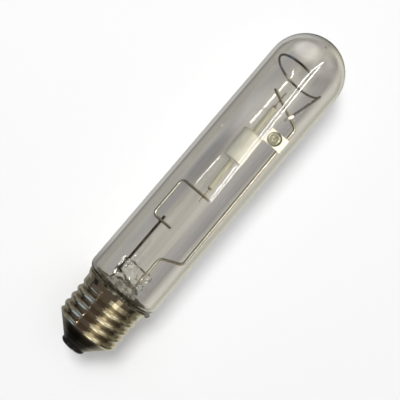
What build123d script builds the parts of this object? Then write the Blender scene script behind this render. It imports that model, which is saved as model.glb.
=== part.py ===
from build123d import *

import os
from math import asin, atan2, cos, degrees, radians, sin, sqrt, tan

# A tubular metal halide lamp with a screw cap, lying on its glass with the cap towards -X.
# Stations are distances in millimetres along the lamp from the tip of the centre contact.
# In the plane of the wires, +Y is the side of the bracket and -Y the side of the long wire.

# Outer bulb
light_centre = 101.0
above_light_centre = 51.4
tube_diameter = 31.0
glass_wall = 1.45
dome_wall = 1.7
neck_end = 14.5
shoulder_start = 26.0
shoulder_angle = 43.07
neck_bend = 1.6
shoulder_bend = 3.6

# Screw cap, with the 27 mm round thread of seven turns to the inch
thread_diameter = 26.2
thread_depth = 0.8
thread_pitch = 3.629
first_crest = 12.7
thread_sink = 0.03
thread_foot = 0.93
lead_in_turns = 2
shell_wall = 0.3
lip_station = 4.7
lip_diameter = 15.2
cone_length = 4.7
collar_over_thread = 0.02
collar_length = 1.7
collar_ramp = 1.8
flare_length = 2.1
flare_past_shoulder = 0.2
flare_rise = 0.98

# Insulator, centre contact and solder
contact_diameter = 9.6
contact_thickness = 0.5
contact_hole = 1.8
contact_solder_height = 0.7
contact_solder_diameter = 5.0
nose_diameter = 10.3
nose_length = 1.0
nose_flare = 0.6
insulator_web = 3.4
insulator_depth = 3.2
insulator_bore = 1.2
insulator_recess = 12.0
side_solder_diameter = 2.8
side_solder_length = 4.6
cement_thickness = 0.8
cement_setback = 0.5

# Stem: the flared glass tube, its flat press and the exhaust tube
stem_diameter = 13.2
stem_wall = 0.9
flare_land = 1.4
flare_run = 5.5
stem_cavity_end = 29.5
press_start = 32.6
press_end = 40.3
press_thickness = 4.2
press_bead_diameter = 3.6
exhaust_diameter = 5.0
exhaust_wall = 0.9
exhaust_length = 19.0

# Wires
frame_wire_diameter = 1.2
bracket_wire_diameter = 1.15
rod_diameter = 1.1
lead_diameter = 0.65
spring_wire_diameter = 0.95
seal_wire_diameter = 0.5
copper_diameter = 0.3
frame_level = 0.5
wire_in_press = 5.2
seal_wire_tail = 2.6
copper_bend = 1.2

# Long frame wire, from the press to its cross arm
frame_root_offset = 3.75
frame_step_start = 7.6
frame_step_length = 3.8
frame_glass_gap = 1.4
frame_lean = 0.95
frame_bend = 2.2
arm_rake = 23.4
arm_overrun = 4.8

# Bracket, on the short rod
rod_offset = 5.3
rod_overrun = 2.1
bracket_span = 17.4
bracket_tail = 4.8
bracket_rise = 4.0
bracket_overrun = 2.8
bracket_bend = 2.0

# Arc tube, with its leads and electrodes
arc_offset = 0.25
arc_lean = 1.9
body_length = 13.0
body_diameter = 8.8
body_wall = 0.7
body_edge = 0.35
plug_thickness = 2.5
capillary_diameter = 2.3
capillary_bore = 1.0
lower_capillary_length = 13.6
upper_capillary_length = 12.2
frit_diameter = 1.9
frit_length = 1.0
frit_shoulder = 0.35
frit_foot = 0.12
lead_depth = 3.5
bracket_on_lead = 4.2
lead_past_bracket = 2.7
arm_on_lead = 4.0
lead_past_arm = 3.4
electrode_diameter = 0.4
electrode_reach = 1.0
coil_diameter = 0.8
coil_length = 1.8

# Getter on its tab
getter_before_bend = 8.05
getter_above_wire = 3.7
getter_diameter = 5.6
getter_height = 1.0
getter_wall = 0.35
getter_floor = 0.2
getter_recess = 0.25
getter_groove = 0.1
getter_ripple = 0.7
tab_width = 5.8
tab_length = 8.2
tab_thickness = 0.2
tab_past_wire = 0.4

# Support spring
ring_offset = 2.275
ring_before_dome = 1.3
ring_side = 0.67
ring_nod = 6.8
ring_yaw = 4.8
ring_turn = 289
spring_tail = 2.5
spring_flat = 1.5
spring_weld_offset = 6.5
spring_glass_gap = 0.2

# Clearances
seal_gap = 0.02
weld_gap = 0.02

tube_radius = tube_diameter / 2
inner_radius = tube_radius - glass_wall
shell_root = thread_diameter / 2 - thread_depth
neck_radius = shell_root - shell_wall - cement_thickness
overall_length = light_centre + above_light_centre
dome_station = overall_length - tube_radius
lamp_axis = Axis((-overall_length / 2, 0, tube_radius), (1, 0, 0))
section = Plane(origin=lamp_axis.position, x_dir=(1, 0, 0), z_dir=(0, -1, 0))


def level(height):
    """A plane of wires, so far above the lamp's axis."""
    origin = lamp_axis.position + Vector(0, 0, height)
    return Plane(origin=origin, x_dir=(1, 0, 0), z_dir=(0, 0, 1))


def across(station):
    """The plane square to the lamp at a station, facing the dome."""
    origin = lamp_axis.position + Vector(station, 0, 0)
    return Plane(origin=origin, x_dir=(0, 1, 0), z_dir=(1, 0, 0))


def place(station, side, height):
    """A point given by its station and its distances beside and above the lamp's axis."""
    return lamp_axis.position + Vector(station, side, height)


def drawn_in(profile, wall):
    """The corners of a profile moved one wall towards the axis, its ends kept on their stations."""
    slopes = [atan2(b[1] - a[1], b[0] - a[0]) for a, b in zip(profile, profile[1:])]
    corners = []
    for i, (station, radius) in enumerate(profile):
        before, after = slopes[max(i - 1, 0)], slopes[min(i, len(slopes) - 1)]
        if i in (0, len(profile) - 1):
            corners.append((station, radius - wall / cos(before)))
        else:
            middle = (before + after) / 2
            reach = wall / cos((after - before) / 2)
            corners.append((station + reach * sin(middle), radius - reach * cos(middle)))
    return corners


def form_face(profile):
    """The face between a profile and the lamp's axis."""
    with BuildSketch() as form:
        with BuildLine():
            Polyline((profile[0][0], 0), *profile, (profile[-1][0], 0), close=True)
        make_face()
    return form.sketch


def save(piece, name):
    """Label a finished piece and write it under its name."""
    piece.part.label = name
    export_step(piece.part, f"parts/{name}.step")


os.makedirs("parts", exist_ok=True)

# The outer bulb: a drawn tube, domed at one end and drawn down to a neck at the other
shoulder_end = shoulder_start + (tube_radius - neck_radius) / tan(radians(shoulder_angle))
bulb_profile = [
    (neck_end, neck_radius),
    (shoulder_start, neck_radius),
    (shoulder_end, tube_radius),
    (dome_station, tube_radius),
]
with BuildPart() as outer_bulb:
    with BuildSketch(section):
        with BuildLine():
            outside = FilletPolyline(*bulb_profile, radius=[neck_bend, shoulder_bend])
            dome = RadiusArc(outside @ 1, (overall_length, 0), tube_radius)
            inner_depth = tube_radius - dome_wall
            inner_dome = EllipticalCenterArc((dome_station, 0), inner_depth, inner_radius, 0, arc_size=90)
            bends = [neck_bend + glass_wall, shoulder_bend - glass_wall]
            inside = FilletPolyline(*drawn_in(bulb_profile, glass_wall), radius=bends)
            Line(dome @ 1, inner_dome @ 0)
            Line(inside @ 0, outside @ 0)
        make_face()
    revolve(axis=lamp_axis)
save(outer_bulb, "outer_bulb")

# The cap's shell: thin sheet with the round thread rolled into it, a cone below and a flared rim
lip_radius = lip_diameter / 2
collar_radius = thread_diameter / 2 + collar_over_thread
rim_radius = collar_radius + flare_rise
cone_end = lip_station + cone_length
flare_start = shoulder_start + flare_past_shoulder
rim_station = flare_start + flare_length
collar_start = flare_start - collar_length
cone_slope = (shell_root - lip_radius) / cone_length
limit_rise = 3.0
thread_barrel = [(lip_station, shell_root), (flare_start - shell_wall, shell_root)]
cone_limit = [
    (lip_station, lip_radius),
    (cone_end + limit_rise / cone_slope, shell_root + limit_rise),
    (rim_station, shell_root + limit_rise),
]
shell_mouth = [
    (collar_start - collar_ramp, collar_radius - collar_ramp),
    (collar_start, collar_radius),
    (flare_start, collar_radius),
    (rim_station, rim_radius),
]


def thread_ridge(inset):
    """One ridge of the thread: a crest arc that runs into two hollow arcs, its foot inside the core."""
    quarter, half_depth = thread_pitch / 4, (thread_depth + thread_sink) / 2
    arc_radius = (quarter**2 + half_depth**2) / (2 * half_depth)
    flank = degrees(asin(quarter / arc_radius))
    hollow_radius = arc_radius + inset
    foot_side = thread_foot * thread_pitch / 2
    foot = degrees(asin((thread_pitch / 2 - foot_side) / hollow_radius))
    hollow_centre = arc_radius - thread_sink
    buried = -thread_depth - inset
    with BuildSketch() as ridge:
        with BuildLine():
            CenterArc((thread_depth - arc_radius, 0), arc_radius - inset, -flank, 2 * flank)
            above = CenterArc((hollow_centre, thread_pitch / 2), hollow_radius, 180 + foot, flank - foot)
            below = CenterArc((hollow_centre, -thread_pitch / 2), hollow_radius, 180 - flank, flank - foot)
            Polyline(above @ 0, (buried, foot_side), (buried, -foot_side), below @ 1)
        make_face()
    return ridge.sketch


def turned(profile, inset):
    """A form turned about the lamp's axis, drawn in from its profile by the inset."""
    with BuildPart() as form:
        with BuildSketch(section):
            add(form_face(drawn_in(profile, inset)))
        revolve(axis=lamp_axis)
    return form.part


def screw_form(inset):
    """The shell's outer form as a solid: a threaded barrel cut to the cone, with the mouth joined on."""
    thread_start = first_crest - lead_in_turns * thread_pitch
    thread_length = (collar_start + flare_start) / 2 - thread_start
    thread = across(thread_start) * Helix(thread_pitch, thread_length, shell_root)
    outwards = thread @ 0 - place(thread_start, 0, 0)
    with BuildPart() as form:
        add(turned(thread_barrel, inset))
        with BuildSketch(Plane(thread @ 0, x_dir=outwards, z_dir=thread % 0)):
            add(thread_ridge(inset))
        sweep(path=thread, is_frenet=True)
        add(turned(cone_limit, inset), mode=Mode.INTERSECT)
        add(turned(shell_mouth, inset))
    return form.part


with BuildPart() as cap_shell:
    add(screw_form(0))
    add(screw_form(shell_wall), mode=Mode.SUBTRACT)
save(cap_shell, "cap_shell")

# The insulator: black glass that fills the cap's cone and carries the centre contact
contact_seat = contact_solder_height + contact_thickness
nose_end = contact_seat + nose_length
insulator_end = lip_station + insulator_depth
cone_fit = drawn_in([(lip_station, lip_radius), (cone_end, shell_root)], shell_wall + seal_gap)
with BuildPart() as cap_insulator:
    with BuildSketch(section):
        with BuildLine():
            Polyline(
                (contact_seat, insulator_bore / 2),
                (contact_seat, nose_diameter / 2),
                (nose_end, nose_diameter / 2),
                (nose_end + nose_flare, nose_diameter / 2 + nose_flare),
                (lip_station - seal_gap, lip_radius),
                (lip_station - seal_gap, cone_fit[0][1] - seal_gap),
                (insulator_end, cone_fit[0][1] + cone_slope * insulator_depth - seal_gap),
                (insulator_end, insulator_recess / 2),
                (contact_seat + insulator_web, insulator_bore),
                (contact_seat + insulator_web, insulator_bore / 2),
                close=True,
            )
        make_face()
    revolve(axis=lamp_axis)
save(cap_insulator, "cap_insulator")

# The centre contact: a plate on the insulator's nose, with its edge rounded and a hole for the wire
with BuildPart() as centre_contact:
    with BuildSketch(across(contact_solder_height)):
        Circle(contact_diameter / 2)
        Circle(contact_hole / 2, mode=Mode.SUBTRACT)
    extrude(amount=contact_thickness)
    rim_edge = centre_contact.edges().filter_by(GeomType.CIRCLE).sort_by(SortBy.RADIUS)[-2:].sort_by(Axis.X)[0]
    fillet(rim_edge, contact_thickness / 2)
save(centre_contact, "centre_contact")

# Its solder: a low dome on the plate and a plug in the hole, round the end of the wire
wire_tip = contact_solder_height + contact_thickness / 2
copper_radius = copper_diameter / 2
with BuildPart() as centre_solder:
    with BuildSketch(section):
        with BuildLine():
            bead_edge = (contact_solder_height, contact_solder_diameter / 2)
            bead = TangentArc((0, 0), bead_edge, tangent=(0, 1))
            Polyline(
                bead @ 1,
                (contact_solder_height, contact_hole / 2 - seal_gap),
                (contact_seat, contact_hole / 2 - seal_gap),
                (contact_seat, copper_radius + seal_gap),
                (wire_tip - seal_gap, copper_radius + seal_gap),
                (wire_tip - seal_gap, 0),
                (0, 0),
            )
        make_face()
    revolve(axis=lamp_axis)
save(centre_solder, "centre_solder")

# The stem: a flared tube sealed into the neck, pressed flat at its far end round the wires
stem_radius = stem_diameter / 2
flare_radius = neck_radius - glass_wall - seal_gap
flare_end = neck_end + flare_land
stem_profile = [
    (neck_end, flare_radius),
    (flare_end, flare_radius),
    (flare_end + flare_run, stem_radius),
    (stem_cavity_end + stem_wall, stem_radius),
]
rod_radius = rod_diameter / 2
frame_radius = frame_wire_diameter / 2
lead_radius = lead_diameter / 2
bracket_radius = bracket_wire_diameter / 2
arc_level = frame_level - frame_radius - lead_radius - weld_gap
bracket_level = arc_level + lead_radius + bracket_radius + weld_gap
rod_level = bracket_level - bracket_radius - rod_radius - weld_gap
wire_start = press_end - wire_in_press
long_wire_place = (-frame_root_offset, frame_level)
short_wire_place = (rod_offset, rod_level)
with BuildPart() as glass_stem:
    with BuildSketch(section):
        add(form_face(stem_profile))
    revolve(axis=lamp_axis)
    with BuildSketch(across(stem_cavity_end + stem_wall)):
        Circle(stem_radius)
    with BuildSketch(across(press_start)):
        SlotOverall(stem_diameter, press_thickness)
    loft()
    with BuildSketch(across(press_start)):
        SlotOverall(stem_diameter, press_thickness)
    extrude(amount=press_end - press_start)
    with BuildSketch(across(wire_start)):
        with Locations(long_wire_place, short_wire_place):
            Circle(press_bead_diameter / 2)
    extrude(amount=wire_in_press)
    with BuildSketch(section):
        cavity = drawn_in(stem_profile, stem_wall)
        add(form_face(cavity[:-1] + [(stem_cavity_end, cavity[-1][1])]))
    revolve(axis=lamp_axis, mode=Mode.SUBTRACT)
    for spot, diameter in ((long_wire_place, frame_wire_diameter), (short_wire_place, rod_diameter)):
        with BuildSketch(across(wire_start)):
            with Locations(spot):
                Circle(diameter / 2 + seal_gap)
        extrude(amount=wire_in_press, mode=Mode.SUBTRACT)
        with BuildSketch(across(stem_cavity_end)):
            with Locations(spot):
                Circle(seal_wire_diameter / 2 + seal_gap)
        extrude(amount=wire_start - stem_cavity_end, mode=Mode.SUBTRACT)
save(glass_stem, "glass_stem")

# The exhaust tube: left on the stem after pumping, its far end melted shut
exhaust_radius = exhaust_diameter / 2
exhaust_tip = stem_cavity_end - exhaust_length
with BuildPart() as exhaust_tube:
    with BuildSketch(section):
        with BuildLine():
            tip = RadiusArc((exhaust_tip, 0), (exhaust_tip + exhaust_radius, exhaust_radius), -exhaust_radius)
            bore = exhaust_radius - exhaust_wall
            bore_start = exhaust_tip + exhaust_radius + exhaust_wall
            bore_tip = RadiusArc((bore_start, 0), (bore_start + bore, bore), -bore)
            mouth = stem_cavity_end - seal_gap
            Polyline(tip @ 1, (mouth, exhaust_radius), (mouth, bore), bore_tip @ 1)
            Line(bore_tip @ 0, tip @ 0)
        make_face()
    revolve(axis=lamp_axis)
save(exhaust_tube, "exhaust_tube")

# Thin seal wires: they carry the current through the glass of the press
seal_wire_start = stem_cavity_end - seal_wire_tail
for name, spot in (("long_seal_wire", long_wire_place), ("short_seal_wire", short_wire_place)):
    with BuildPart() as seal_wire:
        with BuildSketch(across(seal_wire_start)):
            with Locations(spot):
                Circle(seal_wire_diameter / 2)
        extrude(amount=wire_start - seal_wire_start)
    save(seal_wire, name)

# The arc tube lies along the lamp with a slight lean: its own plane runs through the light centre
lean = radians(arc_lean)
arc_plane = Plane(place(light_centre, -arc_offset, arc_level), x_dir=(cos(lean), sin(lean), 0), z_dir=(0, 0, 1))
arc_axis = Axis(arc_plane.origin, arc_plane.x_dir)
half_body = body_length / 2
cavity_end = half_body - plug_thickness
lower_end = -half_body - lower_capillary_length
upper_end = half_body + upper_capillary_length
body_radius, capillary_radius = body_diameter / 2, capillary_diameter / 2
with BuildPart() as arc_tube:
    with BuildSketch(arc_plane):
        with BuildLine():
            Polyline(
                (lower_end, capillary_bore / 2),
                (lower_end, capillary_radius),
                (-half_body, capillary_radius),
                (-half_body, body_radius - body_edge),
                (body_edge - half_body, body_radius),
                (half_body - body_edge, body_radius),
                (half_body, body_radius - body_edge),
                (half_body, capillary_radius),
                (upper_end, capillary_radius),
                (upper_end, capillary_bore / 2),
                (cavity_end, capillary_bore / 2),
                (cavity_end, body_radius - body_wall),
                (-cavity_end, body_radius - body_wall),
                (-cavity_end, capillary_bore / 2),
                close=True,
            )
        make_face()
    revolve(axis=arc_axis)
save(arc_tube, "arc_tube")

# At each end of the arc tube: a frit seal, a lead out to the frame and an electrode inwards
lower_tip = lower_end - bracket_on_lead - lead_past_bracket
upper_tip = upper_end + arm_on_lead + lead_past_arm
arc_ends = (("lower", -1, lower_end, lower_tip), ("upper", 1, upper_end, upper_tip))
for name, way, end, tip in arc_ends:
    lead_end = end - way * lead_depth
    electrode_tip = way * (cavity_end - electrode_reach)
    coil_end = electrode_tip + way * coil_length
    with BuildPart() as frit:
        with BuildSketch(arc_plane):
            with BuildLine():
                seat, out = end + way * seal_gap, end + way * frit_length
                hole = lead_radius + seal_gap
                face = Line((seat, hole), (seat, frit_diameter / 2))
                shoulder = (seat + way * frit_shoulder, frit_diameter / 2)
                Polyline(face @ 1, shoulder, (out, hole + frit_foot), (out, hole), face @ 0)
            make_face()
        revolve(axis=arc_axis)
    save(frit, f"{name}_frit")
    with BuildPart() as lead:
        with BuildSketch(arc_plane):
            add(form_face([(tip, lead_radius), (lead_end, lead_radius)]))
        revolve(axis=arc_axis)
    save(lead, f"{name}_lead")
    with BuildPart() as electrode:
        with BuildSketch(arc_plane):
            shank, coil = electrode_diameter / 2, coil_diameter / 2
            add(form_face([(electrode_tip, coil), (coil_end, coil), (coil_end, shank), (lead_end, shank)]))
        revolve(axis=arc_axis)
    save(electrode, f"{name}_electrode")


def beside_axis(reach):
    """Where the arc tube's axis lies at a reach along it, as station and side."""
    return light_centre + reach * cos(lean), reach * sin(lean) - arc_offset


# The bracket: it hooks over the short rod and its leg is welded across the lower lead
leg_station, leg_side = beside_axis(lower_end - bracket_on_lead)
hook_station = leg_station - bracket_span
bracket_side = rod_offset + bracket_rise
with BuildPart() as bracket_wire:
    with BuildLine(level(bracket_level)) as route:
        FilletPolyline(
            (hook_station, rod_offset - bracket_tail),
            (hook_station, bracket_side),
            (leg_station, bracket_side),
            (leg_station, leg_side - bracket_overrun),
            radius=bracket_bend,
        )
    with BuildSketch(Plane(route.line @ 0, z_dir=route.line % 0)):
        Circle(bracket_radius)
    sweep(path=route.line)
save(bracket_wire, "bracket_wire")

# The short rod: straight from the press to just past the bracket's hook
with BuildPart() as short_rod:
    with BuildSketch(across(wire_start)):
        with Locations(short_wire_place):
            Circle(rod_radius)
    extrude(amount=hook_station + rod_overrun - wire_start)
save(short_rod, "short_rod")

# The long wire: out of the press, stepped out beside the arc tube, then across to the upper lead
arm_station, arm_side = beside_axis(upper_end + arm_on_lead)
rake = radians(arm_rake)
run_side = -(inner_radius - frame_glass_gap - frame_radius)
bend_side = run_side + frame_lean
bend_station = arm_station - (arm_side - bend_side) * tan(rake)
step_station = press_end + frame_step_start
with BuildPart() as frame_wire:
    with BuildLine(level(frame_level)) as route:
        FilletPolyline(
            (wire_start, -frame_root_offset),
            (step_station, -frame_root_offset),
            (step_station + frame_step_length, run_side),
            (bend_station, bend_side),
            (arm_station + arm_overrun * sin(rake), arm_side + arm_overrun * cos(rake)),
            radius=frame_bend,
        )
    with BuildSketch(Plane(route.line @ 0, z_dir=route.line % 0)):
        Circle(frame_radius)
    sweep(path=route.line)
save(frame_wire, "frame_wire")

# The getter: a pan of active metal on a tab that is welded on top of the long wire
run_start = step_station + frame_step_length
getter_station = bend_station - getter_before_bend
wire_side = run_side + frame_lean * (getter_station - run_start) / (bend_station - run_start)
tab_level = frame_level + frame_radius + weld_gap
tab_side = wire_side - frame_radius - tab_past_wire + tab_length / 2
with BuildPart() as getter_tab:
    with BuildSketch(level(tab_level)):
        with Locations((getter_station, tab_side)):
            Rectangle(tab_width, tab_length)
    extrude(amount=tab_thickness)
save(getter_tab, "getter_tab")

pan_base = place(getter_station, wire_side + getter_above_wire, tab_level + tab_thickness)
pan_section = Plane(pan_base, x_dir=(1, 0, 0), z_dir=(0, -1, 0))
pan_radius = getter_diameter / 2
fill_radius = pan_radius - getter_wall
with BuildPart() as getter_pan:
    with BuildSketch(pan_section):
        with BuildLine():
            Polyline(
                (0, 0),
                (pan_radius, 0),
                (pan_radius, getter_height),
                (fill_radius, getter_height),
                (fill_radius, getter_floor),
                (0, getter_floor),
                close=True,
            )
        make_face()
    revolve(axis=Axis(pan_base, (0, 0, 1)))
    rims = getter_pan.edges().filter_by(GeomType.CIRCLE).group_by(Axis.Z)[-1]
    fillet(rims, getter_wall / 3)
save(getter_pan, "getter_pan")

fill_top = getter_height - getter_recess
with BuildPart() as getter_fill:
    with BuildSketch(pan_section):
        with BuildLine():
            Polyline(
                (0, getter_floor),
                (fill_radius - seal_gap, getter_floor),
                (fill_radius - seal_gap, fill_top),
                (3 * getter_ripple, fill_top - getter_groove),
                (2 * getter_ripple, fill_top),
                (getter_ripple, fill_top - getter_groove),
                (0, fill_top),
                close=True,
            )
        make_face()
    revolve(axis=Axis(pan_base, (0, 0, 1)))
save(getter_fill, "getter_fill")

# The support spring: welded on the cross arm, it steps back to a ring that bears on the glass
spring_radius = spring_wire_diameter / 2
ring_radius = inner_radius - spring_glass_gap - spring_radius - ring_offset
ring_drop = sqrt(ring_offset**2 - ring_side**2)
ring_centre = place(dome_station - ring_before_dome, ring_side, -ring_drop)
ring_normal = Vector(1, -tan(radians(ring_yaw)), -tan(radians(ring_nod))).normalized()
ring_start = (Vector(0, -1, 0) + ring_normal * ring_normal.Y).normalized()
corner = ring_centre + ring_start * ring_radius
weld_level = frame_level + frame_radius + spring_radius + weld_gap
weld = place(arm_station - (arm_side + spring_weld_offset) * tan(rake), -spring_weld_offset, weld_level)
along = Vector(corner.X - weld.X, corner.Y - weld.Y, 0).normalized()
with BuildPart() as support_spring:
    with BuildLine() as leg:
        FilletPolyline(weld - along * spring_tail, weld + along * spring_flat, corner, radius=spring_flat)
    with BuildSketch(Plane(leg.line @ 0, z_dir=leg.line % 0)):
        Circle(spring_radius)
    sweep(path=leg.line)
    with BuildLine(Plane(ring_centre, x_dir=ring_start, z_dir=ring_normal)) as ring:
        CenterArc((0, 0), ring_radius, 0, ring_turn)
    with BuildSketch(Plane(ring.line @ 0, z_dir=ring.line % 0)):
        Circle(spring_radius)
    sweep(path=ring.line)
    with Locations(corner):
        Sphere(spring_radius)
save(support_spring, "support_spring")

# Copper wires from the seal wires to the cap: one to the centre contact, one out to the rim
contact_lead_route = [
    place(seal_wire_start, *short_wire_place),
    place(exhaust_tip - copper_bend, *short_wire_place),
    place(insulator_end, 0, 0),
    place(wire_tip, 0, 0),
]
with BuildPart() as contact_lead:
    with BuildLine() as route:
        FilletPolyline(*contact_lead_route, radius=copper_bend)
    with BuildSketch(Plane(route.line @ 0, z_dir=route.line % 0)):
        Circle(copper_radius)
    sweep(path=route.line)
save(contact_lead, "contact_lead")

copper_clear = copper_radius + seal_gap
neck_track = drawn_in(bulb_profile[:3], -copper_clear)
cone_rise = (neck_track[2][1] - neck_track[1][1]) / (neck_track[2][0] - neck_track[1][0])
track_end = neck_track[1][1] + cone_rise * (rim_station - neck_track[1][0])
turn_station = neck_end - copper_bend - copper_clear
with BuildPart() as shell_lead:
    with BuildLine(level(frame_level)) as route:
        FilletPolyline(
            (seal_wire_start, -frame_root_offset),
            (turn_station, -frame_root_offset),
            (turn_station, -neck_track[1][1]),
            (neck_track[1][0], -neck_track[1][1]),
            (rim_station, -track_end),
            radius=[copper_bend, copper_bend, neck_bend - copper_clear],
        )
    with BuildSketch(Plane(route.line @ 0, z_dir=route.line % 0)):
        Circle(copper_radius)
    sweep(path=route.line)
save(shell_lead, "shell_lead")

# The cement between neck and shell, with a groove left for the wire
cement_start, cement_end = neck_end + cement_setback, shoulder_start - cement_setback
with BuildPart() as cap_cement:
    with BuildSketch(across(cement_start)):
        Circle(shell_root - shell_wall - seal_gap)
        Circle(neck_radius + seal_gap, mode=Mode.SUBTRACT)
    extrude(amount=cement_end - cement_start)
    with BuildSketch(level(frame_level)):
        groove_side = neck_track[1][1] + copper_clear
        with Locations(((cement_start + cement_end) / 2, 0)):
            Rectangle(cement_end - cement_start, 2 * groove_side)
        with Locations(((cement_start + cement_end) / 2, groove_side)):
            Rectangle(cement_end - cement_start, 2 * groove_side, mode=Mode.SUBTRACT)
    extrude(amount=copper_clear, both=True, mode=Mode.SUBTRACT)
save(cap_cement, "cap_cement")

# The side solder: a bead over the rim, where the second wire ends
with BuildPart() as side_solder:
    bead_centre = place(rim_station, shell_wall - rim_radius, frame_level)
    with BuildSketch(Plane(bead_centre, x_dir=(1, 0, 0), z_dir=(0, -1, 0))):
        with BuildLine():
            Line((0, side_solder_length / 2), (0, -side_solder_length / 2))
            EllipticalCenterArc((0, 0), side_solder_diameter / 2, side_solder_length / 2, -90, arc_size=180)
        make_face()
    revolve(axis=Axis(bead_centre, (0, 0, 1)))
    for neighbour in (cap_shell, outer_bulb, shell_lead):
        add(neighbour.part, mode=Mode.SUBTRACT)
save(side_solder, "side_solder")
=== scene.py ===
# %% [markdown]
# # Dressing a metal halide lamp
# The lamp lies on a pale table and is seen from straight above. A tube of clear glass is sealed into
# a plated screw cap. Inside it a small ceramic arc tube hangs on a welded wire frame. The solids come
# ready and at their real size, so this lesson gives each of them its finish, models the small things
# that a solid leaves out, and sets the table, the camera and the light.

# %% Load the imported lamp
import math

import bmesh
import bpy
from mathutils import Matrix, Vector, noise
from mathutils.bvhtree import BVHTree


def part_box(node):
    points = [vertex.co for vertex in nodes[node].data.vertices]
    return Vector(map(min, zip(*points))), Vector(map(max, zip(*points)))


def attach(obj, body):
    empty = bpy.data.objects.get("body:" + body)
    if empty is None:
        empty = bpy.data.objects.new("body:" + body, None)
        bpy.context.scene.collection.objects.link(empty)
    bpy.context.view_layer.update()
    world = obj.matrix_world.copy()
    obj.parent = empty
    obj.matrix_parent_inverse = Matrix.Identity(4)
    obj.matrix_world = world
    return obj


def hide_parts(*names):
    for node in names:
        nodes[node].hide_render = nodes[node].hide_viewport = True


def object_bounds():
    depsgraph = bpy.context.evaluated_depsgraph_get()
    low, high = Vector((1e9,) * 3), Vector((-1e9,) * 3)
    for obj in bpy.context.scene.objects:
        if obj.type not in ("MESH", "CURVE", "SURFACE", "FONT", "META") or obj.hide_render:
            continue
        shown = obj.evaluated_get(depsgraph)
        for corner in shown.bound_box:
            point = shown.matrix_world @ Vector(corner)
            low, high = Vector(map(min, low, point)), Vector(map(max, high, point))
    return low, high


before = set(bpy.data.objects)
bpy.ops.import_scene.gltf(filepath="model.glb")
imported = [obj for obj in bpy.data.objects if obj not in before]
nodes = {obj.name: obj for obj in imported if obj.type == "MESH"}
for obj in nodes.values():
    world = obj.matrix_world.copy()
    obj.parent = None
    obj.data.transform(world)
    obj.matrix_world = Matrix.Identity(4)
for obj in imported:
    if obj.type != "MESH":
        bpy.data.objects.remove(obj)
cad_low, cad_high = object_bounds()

MM = 0.001
print("solids:", len(nodes), "size in mm:", [round(v / MM, 1) for v in cad_high - cad_low])

# %% [markdown]
# ## The lamp's axis
# Everything that follows is placed from the lamp's own axis. It runs along +X at the height of the
# tube's radius, with the cap towards -X. Typing in coordinates would be quicker, but reading them
# from the frame keeps the dressing on the lamp if a size changes. A station is a distance from the
# cap's tip, as a maker would measure it.

# %% The axis and its stations
bulb_low, bulb_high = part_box("outer_bulb")
tube_radius = (bulb_high.z - bulb_low.z) / 2
axis_height = bulb_low.z + tube_radius


def place(station_mm, side_mm=0.0, height_mm=0.0):
    """A point by its station, beside the axis and above it, in millimetres."""
    return Vector((cad_low.x + station_mm * MM, side_mm * MM, axis_height + height_mm * MM))


print("tube radius in mm:", round(tube_radius / MM, 2))

# %% [markdown]
# ## Camera
# The photograph was taken from straight above and from close by, so the near turns of the thread look
# larger than the far ones. A camera without perspective would be simpler and lose that. A camera at
# the same distance repeats it. Its focal length follows from how many pixels a millimetre takes up,
# and its turn about the vertical from the lamp's slant.

# %% Camera
image_size = 400
pixels_per_mm = 2.62
camera_distance_mm = 267.0
lamp_slant = 49.46
sensor_width = 36.0
near_clip = 0.01
centre_station, centre_side = 74.75, -0.95

lens_data = bpy.data.cameras.new("overhead_camera")
lens_data.sensor_width = sensor_width
lens_data.lens = sensor_width * pixels_per_mm * camera_distance_mm / image_size
lens_data.clip_start = near_clip
camera = bpy.data.objects.new("overhead_camera", lens_data)
bpy.context.scene.collection.objects.link(camera)
camera.location = place(centre_station, centre_side, camera_distance_mm)
camera.rotation_euler = (0, 0, -math.radians(lamp_slant))
bpy.context.scene.camera = camera
print("focal length in mm:", round(lens_data.lens, 1))

# %% [markdown]
# ## Helpers for nodes
# Every material here is drawn with nodes. Building them by hand in the editor would do for one, but
# the lamp has twenty finishes. These few helpers add a node, join two of them and do one step of
# arithmetic, so that each finish further down reads as a short list of what it is made of.

# %% Materials, nodes and links


def new_material(name):
    """A material with an empty node tree."""
    material = bpy.data.materials.new(name)
    material.use_nodes = True
    material.node_tree.nodes.clear()
    return material


def add_node(tree, kind, **values):
    """A new node, with its properties and its sockets' values set by name."""
    node = tree.nodes.new("ShaderNode" + kind)
    for key, value in values.items():
        if key in node.bl_rna.properties:
            setattr(node, key, value)
        else:
            node.inputs[key.replace("_", " ")].default_value = value
    return node


def feed(tree, value, socket):
    """Gives a socket its value: a number, a tuple, or another socket that is joined to it."""
    if isinstance(value, (int, float, tuple)):
        socket.default_value = value
    else:
        tree.links.new(value, socket)


def show(material, shader):
    """Joins a shader node to the material's output."""
    output = add_node(material.node_tree, "OutputMaterial")
    feed(material.node_tree, shader.outputs[0], output.inputs["Surface"])
    print("material", material.name, "nodes:", len(material.node_tree.nodes))
    return material


# %% Arithmetic on numbers and vectors


def sums(tree, operation, first, second):
    """One step of arithmetic on two sockets or numbers."""
    node = add_node(tree, "Math", operation=operation)
    feed(tree, first, node.inputs[0])
    feed(tree, second, node.inputs[1])
    return node.outputs[0]


def vectors(tree, operation, first, second=None):
    """One step of arithmetic on vectors. Scaling takes a number second, and a length takes nothing."""
    node = add_node(tree, "VectorMath", operation=operation)
    feed(tree, first, node.inputs[0])
    if second is not None:
        feed(tree, second, node.inputs["Scale" if operation == "SCALE" else 1])
    return node.outputs["Value" if operation in ("LENGTH", "DOT_PRODUCT") else "Vector"]


def axis_of(tree, vector, letter):
    """One of a vector's three numbers."""
    axes = add_node(tree, "SeparateXYZ")
    feed(tree, vector, axes.inputs[0])
    return axes.outputs[letter]


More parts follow.
